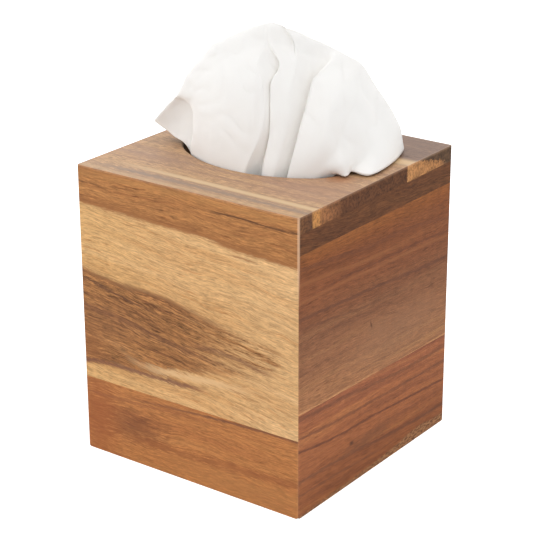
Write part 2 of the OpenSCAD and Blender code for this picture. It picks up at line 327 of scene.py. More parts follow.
def farFrom(tree, axes, middle, size, lean=0.0):
    # distance from a point on the board, in units of size; lean tips the shape along the board
    dy = minus(tree, axes["across"], middle[1])
    dx = minus(tree, axes["along"], middle[0])
    dx = calc(tree, "DIVIDE", timesPlus(tree, dy, -lean, dx), size[0])
    dy = calc(tree, "DIVIDE", dy, size[1])
    return calc(tree, "SQRT", plus(tree, times(tree, dx, dx), times(tree, dy, dy)))


def drawSpots(tree, axes, color, fibre, spots):
    # soft patches: middle, size, lean, colour and strength
    rough = timesPlus(tree, fibre, 1.6, -0.8)
    for middle, size, lean, tone, strength in spots:
        far = plus(tree, farFrom(tree, axes, middle, size, lean), rough)
        color = mixColor(tree, times(tree, softStep(tree, far, 1.6, 0.2), strength), color, tone)
    return color


def drawLines(tree, axes, color, fibre, lines):
    # drawn streaks: middle line, half width, raggedness, colour, strength, and where along the board
    # they fade in or out, if they do
    rough = centred(tree, fibre)
    for path, half, ragged, tone, strength, *fades in lines:
        middle = curveAcross(tree, axes["along"], path, boxSize["half"])
        off = calc(tree, "ABSOLUTE", minus(tree, axes["across"], middle))
        off = timesPlus(tree, rough, ragged, off)
        share = times(tree, softStep(tree, off, half * 1.4, half * 0.3), strength)
        for fade in fades:
            share = times(tree, share, softStep(tree, axes["along"], *fade))
        color = mixColor(tree, share, color, tone)
    return color


def paintPlain(tree, axes, look):
    vector = tilted(tree, axes, look.get("slope", 0.0), look.get("seed", 0.0))
    wood = grain(tree, vector, woods[look["wood"]])
    color = wood["Color"]
    if "second" in look:
        share = timesPlus(tree, wood["Streak"], 24.0, axes["across"])
        share = timesPlus(tree, wood["Fibre"], 5.0, share)
        other = grain(tree, vector, woods[look["second"]])
        color = mixColor(tree, softStep(tree, share, *look["turn"]), color, other["Color"])
    return drawLines(tree, axes, color, wood["Fibre"], look.get("lines", [])), wood["Relief"]


def paintBand(tree, axes):
    # brown heartwood that runs over the front board's upper edge and the top board's front edge
    wood = grain(tree, tilted(tree, axes, -0.03, 40.0), woods["band"])
    return drawLines(tree, axes, wood["Color"], wood["Fibre"], bandLines), wood["Fibre"]


# Dark tongue: how ragged its edges are, and where it loosens, thins out and ends along the board, in
# millimetres
tongue = {"fibre": 5.0, "thread": 6.0, "topRagged": 0.7, "topSoft": (-1.0, 2.5), "lowSoft": (-1.5, 2.5),
          "loosens": (-50.0, 20.0), "looseGain": 1.7, "looseLeast": 0.8, "thins": (-8.0, 50.0),
          "thinMost": 0.76, "wispThread": 6.0, "wispFibre": 4.0, "wispLeast": 0.85, "tipRagged": 14.0,
          "ends": (58.0, 49.0), "patchShare": 0.55}


def paintFrontUpper(tree, axes, look):
    # sapwood with the brown band above and a dark tongue of heartwood that tapers to the right
    vector = tilted(tree, axes, -0.1, 300.0)
    gold = grain(tree, vector, woods["gold"])
    dark = grain(tree, tilted(tree, axes, -0.13, 350.0), woods["figure"])
    band, bandFibre = paintBand(tree, axes)
    color = gold["Color"]
    for low, high, tone in look["tints"]:
        share = timesPlus(tree, gold["Streak"], 10.0, minus(tree, axes["across"], 5.0))
        color = mixColor(tree, softStep(tree, share, low, high), color, tone, "MULTIPLY")
    for low, high, tone in look["sideTints"]:
        color = mixColor(tree, softStep(tree, axes["along"], low, high), color, tone, "MULTIPLY")
    fibre = centred(tree, dark["Fibre"])
    thread = stretched(tree, tilted(tree, axes, -0.12, 80.0), 0.028, 0.5, 0.3)
    thread = centred(tree, noiseAt(tree, thread, 1.0, 3.0))
    rough = plus(tree, times(tree, fibre, tongue["fibre"]), times(tree, thread, tongue["thread"]))
    upper = curveAcross(tree, axes["along"], look["figureTop"], boxSize["half"])
    lower = curveAcross(tree, axes["along"], look["figureLow"], boxSize["half"])
    below = timesPlus(tree, rough, tongue["topRagged"], minus(tree, upper, axes["across"]))
    looseness = timesPlus(tree, softStep(tree, axes["along"], *tongue["loosens"]),
                          tongue["looseGain"], tongue["looseLeast"])
    above = plus(tree, minus(tree, axes["across"], lower), times(tree, rough, looseness))
    inside = times(tree, softStep(tree, below, *tongue["topSoft"]), softStep(tree, above, *tongue["lowSoft"]))
    # the right end thins out into single threads
    thin = times(tree, softStep(tree, axes["along"], *tongue["thins"]), tongue["thinMost"])
    wisp = plus(tree, times(tree, thread, tongue["wispThread"]), times(tree, fibre, tongue["wispFibre"]))
    gone = times(tree, thin, plus(tree, wisp, tongue["wispLeast"]), clamp=True)
    inside = times(tree, inside, minus(tree, 1.0, gone), clamp=True)
    tip = timesPlus(tree, thread, tongue["tipRagged"], axes["along"])
    inside = times(tree, inside, softStep(tree, tip, *tongue["ends"]))
    # loose threads below it
    patch = softStep(tree, farFrom(tree, axes, *look["loose"]), 1.3, 0.6)
    patch = times(tree, patch, softStep(tree, wisp, 0.3, 1.1))
    inside = calc(tree, "MAXIMUM", inside, times(tree, patch, tongue["patchShare"]))
    color = mixColor(tree, inside, color, dark["Color"])
    color = drawSpots(tree, axes, color, dark["Fibre"], look["spots"])
    color = drawLines(tree, axes, color, dark["Fibre"], look["lines"])
    bandLine = curveAcross(tree, axes["along"], look["bandLow"], boxSize["half"])
    rise = minus(tree, axes["across"], bandLine)
    rise = timesPlus(tree, centred(tree, bandFibre), 4.0, rise)
    edge = times(tree, softStep(tree, rise, 6.0, 0.5), look["bandEdge"])
    band = mixColor(tree, edge, band, woods["band"]["dark"])
    return mixColor(tree, softStep(tree, rise, -1.2, 1.2), color, band), dark["Relief"]


def paintFrontLower(tree, axes, look):
    wood = grain(tree, tilted(tree, axes, -0.02, 120.0), woods["orange"])
    color = drawSpots(tree, axes, wood["Color"], wood["Fibre"], look["spots"])
    return drawLines(tree, axes, color, wood["Fibre"], look["lines"]), wood["Relief"]


def paintRight(tree, axes, look):
    # parallel lines over a colour that changes from the stave's lower edge to its upper
    wood = grain(tree, tilted(tree, axes, -0.045, look["seed"], 1.5), woods[look["wood"]])
    low = curveAcross(tree, axes["along"], look["low"], boxSize["half"])
    high = curveAcross(tree, axes["along"], look["high"], boxSize["half"])
    share = calc(tree, "DIVIDE", minus(tree, axes["across"], low), minus(tree, high, low))
    share = timesPlus(tree, centred(tree, wood["Streak"]), 0.1, share)
    zone = colorStops(tree, share, look["stops"])
    color = mixColor(tree, 1.0, wood["Color"], zone, "MULTIPLY")
    color = scaled(tree, color, look["gain"])
    color = drawSpots(tree, axes, color, wood["Fibre"], look["spots"])
    color = drawLines(tree, axes, color, wood["Fibre"], look["lines"])
    if "sapEdge" in look:
        edge = curveAcross(tree, axes["along"], look["sapEdge"], boxSize["half"])
        speck = noiseAt(tree, stretched(tree, tilted(tree, axes, 0.05, 640.0), 0.4, 1.1, 0.8), 1.0, 3.0,
                        0.6)
        under = minus(tree, timesPlus(tree, speck, 1.4, edge), axes["across"])
        sap = mixColor(tree, softStep(tree, speck, 0.42, 0.6), look["sapPale"], look["sapDark"])
        color = mixColor(tree, softStep(tree, under, 0.2, 1.2), color, sap)
    return color, wood["Relief"]


# Top board: where its end grain starts and is full, in millimetres in from the end, and how far round
# the oval the opening's wall gets dark end grain with painted shade
topEdges = {"endStart": 0.5, "endFull": 0.25, "holeFrom": 2, "holeFull": 1, "wallShadeShare": 0.8,
            "spots": (200.0, 700.0, 700.0), "rings": (20.0, 160.0, 380.0)}


def paintTop(tree, axes, look):
    wood = grain(tree, tilted(tree, axes, look.get("slope", 0.0), look["seed"]), woods[look["wood"]])
    color = drawSpots(tree, axes, wood["Color"], wood["Fibre"], look.get("spots", []))
    color = drawLines(tree, axes, color, wood["Fibre"], look["lines"])
    # end grain on both ends
    ends = calc(tree, "ABSOLUTE", axes["along"])
    endMask = softStep(tree, ends, boxSize["half"] - topEdges["endStart"],
                       boxSize["half"] - topEdges["endFull"])
    y = timesPlus(tree, centred(tree, wood["Fibre"]), 2.0, axes["across"])
    spots = noiseAt(tree, stretched(tree, axes["place"], *topEdges["spots"]), 1.0, 3.0, 0.7)
    rings = noiseAt(tree, stretched(tree, axes["place"], *topEdges["rings"]), 1.0, 3.0, 0.5)
    endColor = colorStops(tree, timesPlus(tree, y, 0.5 / boxSize["half"], 0.5), look["endStops"])
    if "endRagged" in look:
        top = curveAcross(tree, axes["across"], look["endRagged"], boxSize["half"])
        over = minus(tree, axes["depth"], top)
        over = timesPlus(tree, centred(tree, spots), 7.0, over)
        endColor = mixColor(tree, softStep(tree, over, -0.4, 0.4), endColor, look["endDark"])
    speckle = timesPlus(tree, softStep(tree, spots, 0.42, 0.62), -look["endSpots"], 1.0)
    ring = timesPlus(tree, softStep(tree, rings, 0.45, 0.65), -0.3, 1.12)
    endColor = scaled(tree, endColor, times(tree, speckle, ring))
    color = mixColor(tree, endMask, color, endColor)
    if "frontEdge" in look:
        upright = {"along": axes["along"], "across": axes["depth"], "depth": axes["across"]}
        band, _ = paintBand(tree, upright)
        color = mixColor(tree, softStep(tree, axes["across"], *look["frontEdge"]), color, band)
    # the opening's wall is painted dark: its end grain with painted shade
    normal = addNode(tree, "ShaderNodeTexCoord").outputs["Normal"]
    upward = addNode(tree, "ShaderNodeSeparateXYZ", {0: normal}).outputs["Z"]
    wall = softStep(tree, calc(tree, "ABSOLUTE", upward), 0.6, 0.2)
    halfLength, halfWidth = boxSize["holeLength"] / 2, boxSize["holeWidth"] / 2
    near = softStep(tree, ends, halfLength + topEdges["holeFrom"], halfLength + topEdges["holeFull"])
    nearToo = softStep(tree, calc(tree, "ABSOLUTE", axes["across"]),
                       halfWidth + topEdges["holeFrom"], halfWidth + topEdges["holeFull"])
    wall = times(tree, wall, times(tree, near, nearToo))
    return mixColor(tree, times(tree, wall, topEdges["wallShadeShare"]), color,
                    look["wallGrainAndShade"]), wood["Relief"]


bandHigh = [(-65, 132), (65, 130.8)]
rightLine = [(-65, 53.8), (65, 48.9)]
bandLines = [
    ([(-65, 145), (0, 143.4), (13, 142.9), (29, 143.3), (47, 142.5), (65, 142.5)], 0.55, 1.5,
     (0.10, 0.038, 0.016), 0.8, (5, 26)),
    ([(-65, 142.3), (-48, 141.8), (65, 141)], 0.5, 1.5, (0.15, 0.055, 0.02), 0.6, (-46, -54)),
    ([(-65, 147), (0, 147.4), (65, 146)], 1.6, 3.0, (0.50, 0.24, 0.075), 0.35),
]
plum = (0.17, 0.066, 0.036)
topEnds = [(0.0, (0.2, 0.084, 0.031)), (0.035, (0.19, 0.075, 0.028)), (0.075, (0.15, 0.063, 0.028)),
           (0.086, (0.56, 0.25, 0.07)), (0.12, (0.56, 0.25, 0.07)), (0.13, (0.40, 0.165, 0.057)),
           (0.19, (0.33, 0.13, 0.047)), (0.27, (0.165, 0.06, 0.0225)), (0.683, (0.15, 0.056, 0.0205)),
           (0.687, (0.54, 0.25, 0.085)), (0.9, (0.48, 0.21, 0.07)), (0.97, (0.16, 0.085, 0.045))]

staves = {
    "front_upper_stave": {
        "face": "front", "paint": paintFrontUpper,
        "bandLow": [(-65, 131.2), (-35, 130.2), (-8, 129.5), (10, 129.2), (25, 127.2), (45, 126.2),
                    (65, 125.6)],
        "bandEdge": 0.7,
        "figureTop": [(-65, 98), (-43, 94.8), (-28, 94.4), (-12, 94.2), (4, 90.6), (20, 88), (37, 86.3),
                      (65, 82)],
        "figureLow": [(-65, 47), (-45, 49.2), (-25, 50), (-5, 56.5), (20, 61), (40, 66), (55, 72),
                      (65, 78)],
        # lower gold is a little deeper than the upper
        "tints": [(104, 101, (0.93, 0.9, 0.86)), (50, 47, (1.09, 1.12, 1.17))],
        "sideTints": [(0, -60, (0.97, 0.96, 0.9)), (10, 60, (1.05, 1.1, 1.19))],
        "loose": ((8, 58), (46, 11)),
        "spots": [((-62, 58), (10, 9), 0.0, (0.31, 0.112, 0.034), 0.5),
                  ((-50, 72), (22, 10), 0.0, (0.24, 0.098, 0.04), 0.35)],
        "lines": [
            ([(-65, 97), (-43, 93.6), (-12, 92.6), (20, 86.8), (65, 81)],
             1.8, 6.0, (0.17, 0.062, 0.024), 0.55, (44, -20)),
            ([(-65, 92.5), (-39, 87.5), (-20, 84), (65, 70)],
             0.9, 4.0, (0.12, 0.048, 0.024), 0.7, (0, -45)),
            ([(-65, 78), (-44, 76), (-17, 72), (5, 69), (65, 66)], 1.6, 6.0, plum, 0.35, (40, 0)),
            ([(-65, 68), (-25, 66.5), (15, 74), (45, 70.5), (65, 69)],
             1.4, 5.0, plum, 0.5, (-5, 15), (56, 40)),
            ([(-65, 63), (-45, 60), (-25, 54.6), (0, 56), (30, 58), (65, 60)], 1.8, 7.0,
             (0.71, 0.45, 0.225), 0.75, (-48, -12), (50, 15)),
            ([(-65, 48), (-43, 50), (-18, 50.4), (3, 51), (12, 51.6), (65, 54)], 1.3, 5.0,
             (0.19, 0.073, 0.043), 0.8, (16, -2)),
            ([(-65, 124), (30, 124.2), (38, 123.8), (65, 123)],
             0.5, 1.5, (0.28, 0.11, 0.04), 0.6, (22, 30), (44, 37)),
        ],
    },
    "front_lower_stave": {
        "face": "front", "paint": paintFrontLower,
        "spots": [((-34, 20), (17, 8), 0.0, (0.2, 0.064, 0.025), 0.7),
                  ((-58, 18), (13, 22), 0.0, (0.32, 0.088, 0.025), 0.7),
                  ((30, 6), (40, 7), 0.0, (0.46, 0.2, 0.064), 0.5)],
        "lines": [
            ([(-65, 29), (-27, 35), (7, 37.8), (36, 39.6), (65, 40.2)], 0.7, 2.0, plum, 0.7, (-60, 20)),
            ([(-65, 31), (-27, 33), (7, 35), (65, 36)], 0.8, 2.5, (0.27, 0.09, 0.035), 0.5, (30, -20)),
            ([(-65, 12), (-15, 13.5), (10, 14.5), (65, 17.5)],
             2.2, 6.0, (0.29, 0.092, 0.03), 0.55, (-50, -20)),
        ],
    },
    "right_upper_stave": {
        "face": "right", "paint": paintPlain, "wood": "umber", "seed": 70.0, "slope": -0.1,
    },
    "right_middle_stave": {
        "face": "right", "paint": paintRight, "wood": "russet", "seed": 510.0, "gain": 1.0,
        "low": rightLine, "high": bandHigh,
        "stops": [(0.0, (1.9, 2.6, 2.8)), (0.022, (1.3, 1.65, 1.8)), (0.3, (1.04, 1.25, 1.43)),
                  (0.46, (0.86, 1.0, 1.15)), (0.55, (0.82, 0.86, 0.92)), (0.72, (0.86, 0.81, 0.75)),
                  (0.88, (0.78, 0.71, 0.58)), (0.93, (0.88, 0.79, 0.52)), (1.0, (0.96, 0.9, 0.56))],
        "spots": [((20, 66), (40, 12), 0.0, (0.33, 0.165, 0.088), 0.45),
                  # pale painted sheen beside the knot
                  ((0, 75), (9, 5), -0.3, (0.33, 0.155, 0.075), 0.35),
                  ((-5.3, 78.8), (0.55, 1.9), -0.35, (0.09, 0.03, 0.016), 0.75)],
        "lines": [
            ([(-65, 125), (-34, 122.3), (-5, 119), (13, 118.7), (65, 112)],
             1.2, 3.0, (0.17, 0.058, 0.027), 0.45),
            ([(-65, 118), (-40, 116.1), (-15, 113.4), (13, 112), (65, 110)],
             1.0, 3.0, (0.36, 0.135, 0.045), 0.4, (40, 0)),
            ([(-65, 110.5), (-26, 110.6), (0, 109.2), (33, 108), (65, 105.6)],
             0.8, 2.0, (0.14, 0.048, 0.025), 0.5, (-64, -20)),
            ([(-65, 109), (-26, 108.3), (0, 106.6), (33, 105.2), (65, 103)],
             0.8, 2.0, (0.37, 0.14, 0.05), 0.4),
            ([(-65, 101), (-33, 99), (-6, 97.2), (19, 95), (45, 93), (65, 92)],
             1.1, 2.5, (0.135, 0.052, 0.03), 0.55),
            ([(-65, 96.5), (-35, 93), (-3, 89), (30, 87), (65, 86)],
             0.8, 2.5, (0.15, 0.056, 0.031), 0.4, (50, 0)),
            ([(-65, 60), (0, 57.5), (65, 55)], 0.6, 2.0, (0.23, 0.105, 0.055), 0.5, (-50, 0)),
        ],
    },
    "right_lower_stave": {
        "face": "right", "paint": paintRight, "wood": "red", "seed": 640.0, "gain": 1.2,
        "low": [(-65, -1), (65, -1)], "high": rightLine,
        "stops": [(0.0, (0.85, 0.82, 0.72)), (0.3, (0.9, 0.86, 0.78)), (0.45, (1.0, 0.97, 0.9)),
                  (0.8, (1.05, 1.02, 0.98)), (1.0, (0.95, 0.9, 1.0))],
        "spots": [((-20.6, 21.8), (1.8, 1.0), 0.0, (0.07, 0.03, 0.02), 0.8),
                  ((-5, 19), (22, 3.5), 0.0, (0.18, 0.075, 0.038), 0.5)],
        "lines": [
            ([(-65, 51.5), (-38, 49.8), (-6, 46.6), (24, 43.8), (65, 42.5)], 1.3, 3.0, plum, 0.55),
            ([(-65, 41.8), (-26, 38.4), (1, 37.2), (65, 34)], 0.9, 2.0, plum, 0.6),
            ([(-65, 35), (-31, 30.6), (0, 29), (60, 24.2), (65, 24)], 0.7, 1.5, (0.13, 0.045, 0.028), 0.7),
            ([(-65, 18.8), (-25, 17), (5, 13.7), (39, 10.8), (65, 9.4)], 1.1, 2.5, plum, 0.6),
            ([(-65, 12), (-25, 10), (5, 8), (65, 4)], 0.8, 2.0, plum, 0.45, (30, -10)),
        ],
        "sapEdge": [(-65, 1.1), (-46, 1.6), (-12, 2.2), (19, 3.9), (41, 6.1), (55, 4.8), (65, 4.6)],
        "sapPale": (0.42, 0.20, 0.085), "sapDark": (0.17, 0.07, 0.03),
    },
    "back_upper_stave": {"face": "back", "paint": paintPlain, "wood": "red",
                         "second": "figure", "turn": (111.0, 131.0), "seed": 210.0, "slope": 0.05},
    "back_lower_stave": {"face": "back", "paint": paintPlain, "wood": "gold",
                         "second": "band", "turn": (55.0, 49.0), "seed": 260.0, "slope": -0.03},
    "left_upper_stave": {"face": "left", "paint": paintPlain, "wood": "band",
                         "seed": 330.0, "slope": 0.03},
    "left_middle_stave": {"face": "left", "paint": paintPlain, "wood": "gold",
                          "second": "figure", "turn": (95.0, 87.0), "seed": 390.0, "slope": -0.06},
    "left_lower_stave": {"face": "left", "paint": paintPlain, "wood": "umber", "seed": 450.0},
    "top_front_stave": {
        "face": "top", "paint": paintTop, "wood": "tan", "seed": 20.0, "frontEdge": (-64.6, -64.85),
        "lines": [([(-65, -57.5), (0, -57), (65, -57.5)], 1.9, 3.5, (0.27, 0.19, 0.145), 0.75, (-70, -35)),
                  ([(-65, -54), (0, -54.2), (65, -55)], 0.7, 2.5, (0.27, 0.19, 0.145), 0.5, (-70, -30)),
                  ([(-65, -62), (0, -62.5), (65, -62)], 1.2, 3.0, (0.56, 0.37, 0.2), 0.4)],
        "spots": [((-20, -60), (70, 5), 0.0, (0.33, 0.215, 0.15), 0.35)],
        "endStops": topEnds, "endSpots": 0.5, "wallGrainAndShade": (0.10, 0.045, 0.025),
    },
    "top_middle_stave": {
        "face": "top", "paint": paintTop, "wood": "tan", "seed": 160.0,
        "lines": [([(-65, -50.6), (0, -51), (65, -51.4)], 2.0, 2.5, (0.64, 0.46, 0.265), 0.85, (-65, -5)),
                  ([(-65, -49), (0, -48), (65, -48.4)], 0.5, 1.5, (0.28, 0.16, 0.105), 0.5, (-10, 20)),
                  ([(-65, -43), (0, -40), (65, -40)], 1.2, 4.0, (0.28, 0.155, 0.10), 0.5, (70, 20)),
                  ([(-65, -34), (0, -33), (65, -34)], 1.6, 5.0, (0.33, 0.19, 0.13), 0.5),
                  ([(-65, -26), (0, -26), (35, -28), (53, -24), (65, -24)],
                   1.8, 5.0, (0.30, 0.17, 0.115), 0.5),
                  ([(-65, 4), (65, 8)], 3.0, 6.0, (0.24, 0.12, 0.08), 0.55, (42, 52))],
        "spots": [((49, -27), (30, 19), 0.0, (0.38, 0.212, 0.145), 0.5),
                  # painted shadow of the tissue's corner on the board by the opening's right end
                  ((49, -10), (7, 5), 0.0, (0.36, 0.15, 0.065), 0.7),
                  ((-40, -33), (30, 7), 0.0, (0.35, 0.21, 0.14), 0.55)],
        "endStops": topEnds, "endSpots": 0.45, "wallGrainAndShade": (0.07, 0.032, 0.018),
    },
    "top_back_stave": {
        "face": "top", "paint": paintTop, "wood": "ash", "seed": 90.0,
        "lines": [([(-65, 27), (0, 27.5), (65, 28.5)], 4.6, 2.5, (0.68, 0.465, 0.255), 0.9, (-60, 30))],
        "endStops": topEnds, "endSpots": 0.4, "wallGrainAndShade": (0.07, 0.032, 0.018),
        "endRagged": [(-65, 160), (20, 160), (34, 150.6), (44, 147.5), (52, 145.5), (57, 144), (65, 141)],
        "endDark": (0.137, 0.071, 0.035),
    },
}

woodFinish = {"roughness": 0.5, "specular": 0.32, "relief": 0.00012, "uprightLift": 0.6, "edgeLift": 0.15,
              "glintColor": (0.78, 0.50, 0.32)}


def woodMaterial(name, look):
    material = bpy.data.materials.new(name)
    material.use_nodes = True
    tree = material.node_tree
    tree.nodes.clear()
    axes = boardAxes(tree, look["face"])
    color, relief = look["paint"](tree, axes, look)
    upright, edge = cornerMasks(tree, axes["place"])
    # painted highlights: the eased corner and top edge are lightened towards a pale colour
    glint = calc(tree, "MAXIMUM", times(tree, upright, woodFinish["uprightLift"]),
                times(tree, edge, woodFinish["edgeLift"]))
    color = mixColor(tree, glint, color, woodFinish["glintColor"])
    rough = timesPlus(tree, relief, -0.08, woodFinish["roughness"])
    bump = addNode(tree, "ShaderNodeBump",
                   {"Strength": 0.5, "Distance": woodFinish["relief"], "Height": relief})
    surface = addNode(tree, "ShaderNodeBsdfPrincipled", {
        "Base Color": color, "Roughness": rough, "Normal": bump.outputs[0],
        "Specular IOR Level": woodFinish["specular"]})
    addNode(tree, "ShaderNodeOutputMaterial", {"Surface": surface.outputs[0]})
    return material


def setMaterial(obj, material):
    obj.data.materials.clear()
    obj.data.materials.append(material)


for nodeName, look in staves.items():
    setMaterial(cadNodes[nodeName], woodMaterial(nodeName, look))
print("staves finished:", len(staves))


# Card carton and folded stack

def cardMaterial():
    material, tree, surface = newMaterial("carton_card")
    place = addNode(tree, "ShaderNodeTexCoord").outputs["Object"]
    fibres = noiseAt(tree, place, 900.0, 4.0, 0.7)
    cloud = noiseAt(tree, place, 40.0, 2.0)
    color = mixColor(tree, times(tree, fibres, 0.5), (0.80, 0.78, 0.73), (0.72, 0.69, 0.63))
    tree.links.new(mixColor(tree, times(tree, cloud, 0.2), color, (0.68, 0.66, 0.62)),
                   surface.inputs["Base Color"])
    surface.inputs["Roughness"].default_value = 0.7
    addBump(tree, surface, 0.2, 0.0001, fibres)
    return material


def stackMaterial():
    # folded edges of the tissues show as close level lines on the sides; the darker lines are painted shade
    # between the edges
    material, tree, surface = newMaterial("folded_tissues")
    place = addNode(tree, "ShaderNodeTexCoord").outputs["Object"]
    wobble = noiseAt(tree, place, 60.0, 2.0)
    level = times(tree, addNode(tree, "ShaderNodeSeparateXYZ", {0: place}).outputs["Z"], 700.0 * math.tau)
    fold = calc(tree, "SINE", timesPlus(tree, wobble, 5.0, level))
    fold = timesPlus(tree, fold, 0.5, 0.5)
    tree.links.new(mixColor(tree, fold, (0.78, 0.76, 0.72), (0.91, 0.90, 0.87)),
                   surface.inputs["Base Color"])
    surface.inputs["Roughness"].default_value = 0.9
    addBump(tree, surface, 0.5, 0.0004, fold)
    return material


setMaterial(cadNodes["tissue_carton"], cardMaterial())
setMaterial(cadNodes["tissue_stack"], stackMaterial())
print("carton and stack finished")


# Tissue drawn up through the opening. Lines run from the stack up over the ridge and down again.
# Each point is across the view, towards the front corner and above the top board, in millimetres.

sheet = {
    "turn": 36.2, "top": 150.0,
    "gatherAt": (-4.7, 6.5),
    "gather": [(0.86, 1.0, -13.0), (0.6, 1.5, -24.0), (0.45, 3.0, -37.7)],
    "acrossSteps": 10, "alongSteps": 9,
    "plyThickness": 0.09, "plyGap": 0.24, "openEdge": 0.7,
    "flat": (0.180, 0.180), "thinness": 0.3, "glowReach": 0.0008,
    "openShare": 0.05,
    # crumples: cycles per millimetre, strengths, and the height over which they come in
    "crumple": {"broadScale": 0.055, "creaseScale": 0.11, "creaseSharp": 3.2, "broad": 0.45, "crease": 0.35,
                "calmBelow": 2, "calmOver": 12, "seed": 3.0},
    # creased lines of the net, each with the points along it where its crease starts and ends
    "creases": {2: (2.0, 9.0), 4: (6.5, 9.5), 5: (6.5, 9.5), 7: (2.0, 7.5), 8: (3.0, 7.0), 9: (2.0, 7.5),
                10: (5.0, 8.0), 11: (5.0, 8.0), 12: (2.0, 7.0), 14: (2.0, 7.5), 15: (6.0, 9.5),
                16: (6.5, 9.5)},
    "front": [
        [[-37.5, -11, -1.5], [-40.5, -13.5, 2], [-45, -19, 3],
         [-49, -23, 5], [-52.5, -25, 7], [-56, -26, 9.5]],
        [[-36, -8, -2], [-38.5, -11, 3.5], [-41.5, -16, 7],
         [-45, -20, 11], [-48, -21, 14], [-50.5, -21, 17]],
        [[-34, -5, -2.5], [-33.5, -10, 8], [-33.5, -10, 17.5],
         [-36.5, -12, 21.5], [-41, -14, 23.5], [-45, -15, 24]],
        [[-37, -4, -0.5], [-36, -1, 10.5], [-35.5, 0, 21],
         [-37, -2, 25.5], [-40.5, -5, 27.5], [-43.5, -9, 27.5]],
        [[-29, 10.5, 0], [-27.5, 12.5, 13], [-28, 10.5, 24],
         [-30.5, 6, 32], [-34.5, 1, 35.5], [-38, -4, 38.5]],
        [[-20.5, 19.5, 0], [-18, 20, 15.5], [-17, 18, 30],
         [-19, 13, 42], [-22.5, 7, 48.5], [-25.5, 1, 55.2]],
        [[-14, 24.5, 0], [-9, 24.6, 17.5], [-6.5, 21.6, 34],
         [-7, 16.2, 46], [-8.5, 10, 54.5], [-11, 3, 62.5]],
        [[-10.6, 27, 0], [-1.8, 25.2, 22], [-2, 19.6, 41],
         [-4.6, 15.4, 49], [-0.9, 9.2, 57.3], [-1.5, 4, 66]],
        [[-3, 22.8, -0.8], [1.9, 22, 20.5], [2.2, 16.4, 39.6],
         [6.6, 10.6, 47.5], [0.6, 8.4, 57.6], [0.8, 3.6, 66.2]],
        [[-2.2, 29, 0], [1.6, 24.4, 20.5], [1.9, 18.6, 40.5],
         [6, 13.4, 48.6], [1.5, 8.8, 57.5], [3, 3.5, 66]],
        [[0.5, 31.4, 0], [5.5, 25.9, 19.5], [6.5, 19.2, 38.5],
         [11.4, 12.8, 49.5], [13.2, 7.4, 56.4], [6, 2.7, 65.2]],
        [[3.2, 32, 0], [9, 26, 19], [11.5, 19.8, 37], [14, 14, 48.5], [13, 9, 56.7], [7.4, 4, 64.8]],
        [[6.5, 30.2, 0], [12.5, 24, 16.5], [16, 18, 33], [18.5, 13.4, 43], [20, 8, 51], [19, 3, 59.5]],
        [[10.6, 27, -1.5], [16.2, 21.6, 15.8], [20.6, 16.8, 30.5],
         [24, 11.4, 40], [28.8, 6.6, 47.2], [30, 2.2, 54]],
        [[9.5, 33.5, 0], [14, 28.5, 17], [18.5, 22, 32], [21.5, 17, 42], [28.5, 11, 47.5], [36.5, 3, 51]],
        [[17, 34.5, 0], [24, 33, 15.5], [29.5, 27, 29], [35, 20, 38], [40.5, 11, 42.5], [45, 1, 45.5]],
        [[22.5, 34.5, 0], [30.5, 33, 10.5], [37.5, 27, 18.5],
         [43.5, 20, 25], [49.5, 11, 28], [55.5, 0, 29]],
        [[27, 33, 0], [34.5, 35, 6], [42.5, 28, 8], [50.5, 23, 10], [57.5, 13, 11.5], [63.6, 0, 15]],
        [[31.8, 31.5, 0.6], [36.7, 35.8, 1], [39.2, 31, 1.6],
         [47.4, 34.6, 1], [58.8, 17.4, 1], [66.1, -6.5, 1.1]],
    ],
    "back": [
        [[-52, -28.5, 6.5], [-45, -27, 3], [-36, -22, -1.5]],
        [[-49, -26, 15], [-44, -29, 10], [-34, -22, -2]],
        [[-44, -22, 21], [-40, -27, 13], [-31, -20, -2]],
        [[-41, -20, 25], [-37, -27, 17], [-28, -21, -2]],
        [[-37, -18, 31], [-32, -23, 18], [-24, -16, 0]],
        [[-27, -15, 38], [-25, -22, 20], [-18, -15, 0]],
        [[-14, -12, 42], [-17, -16, 20], [-13, -8, 0]],
        [[-5, -12, 44], [-9, -17, 20], [-8, -8, 0]],
        [[-1, -8, 44], [-4, -12, 20], [-5, -3, 0]],
        [[3, -11, 44], [0, -15, 20], [-2, -4, 0]],
        [[7, -11, 43], [4, -14, 19], [1, 0, 0]],
        [[11, -12, 42], [9, -16, 19], [4, -1, 0]],
        [[19, -12, 40], [15, -15, 18], [8, 3, 0]],
        [[28, -8, 36], [21, -10, 17], [12, 6, 0]],
        [[34, -12, 35], [27, -14, 16], [15, 8, 0]],
        [[43, -13, 31], [34, -15, 14], [19, 11, 0]],
        [[52, -12, 20], [42, -15, 11], [23, 15, 0]],
        [[60, -10, 11], [48, -13, 7], [27, 20, 0]],
        [[61.6, -15, 1.2], [52, -9, 1.6], [30, 24, 0.5]],
    ],
}


def smoothLine(points, steps, crease=None):
    # spans whose slopes shorten where the line turns sharply or its spans differ; where crease
    # is 1 the line keeps a sharp corner
    points = np.array(points, float)
    spans = np.diff(points, axis=0)
    lengths = np.linalg.norm(spans, axis=-1, keepdims=True)
    slopes = np.empty_like(points)
    slopes[0], slopes[-1] = spans[0], spans[-1]
    slopes[1:-1] = (spans[:-1] * lengths[1:] + spans[1:] * lengths[:-1]) / (lengths[1:] + lengths[:-1])
    leaving, arriving = slopes[:-1], slopes[1:]
    if crease is not None:
        leaving = leaving + (spans - leaving) * crease[:-1]
        arriving = arriving + (spans - arriving) * crease[1:]
    rows = []
    for t in np.arange(steps) / steps:
        rows.append((2 * t ** 3 - 3 * t ** 2 + 1) * points[:-1] + (t ** 3 - 2 * t ** 2 + t) * leaving
                    + (3 * t ** 2 - 2 * t ** 3) * points[1:] + (t ** 3 - t ** 2) * arriving)
    joined = np.stack(rows, axis=1).reshape(-1, *points.shape[1:])
    return np.concatenate([joined, points[-1:]])


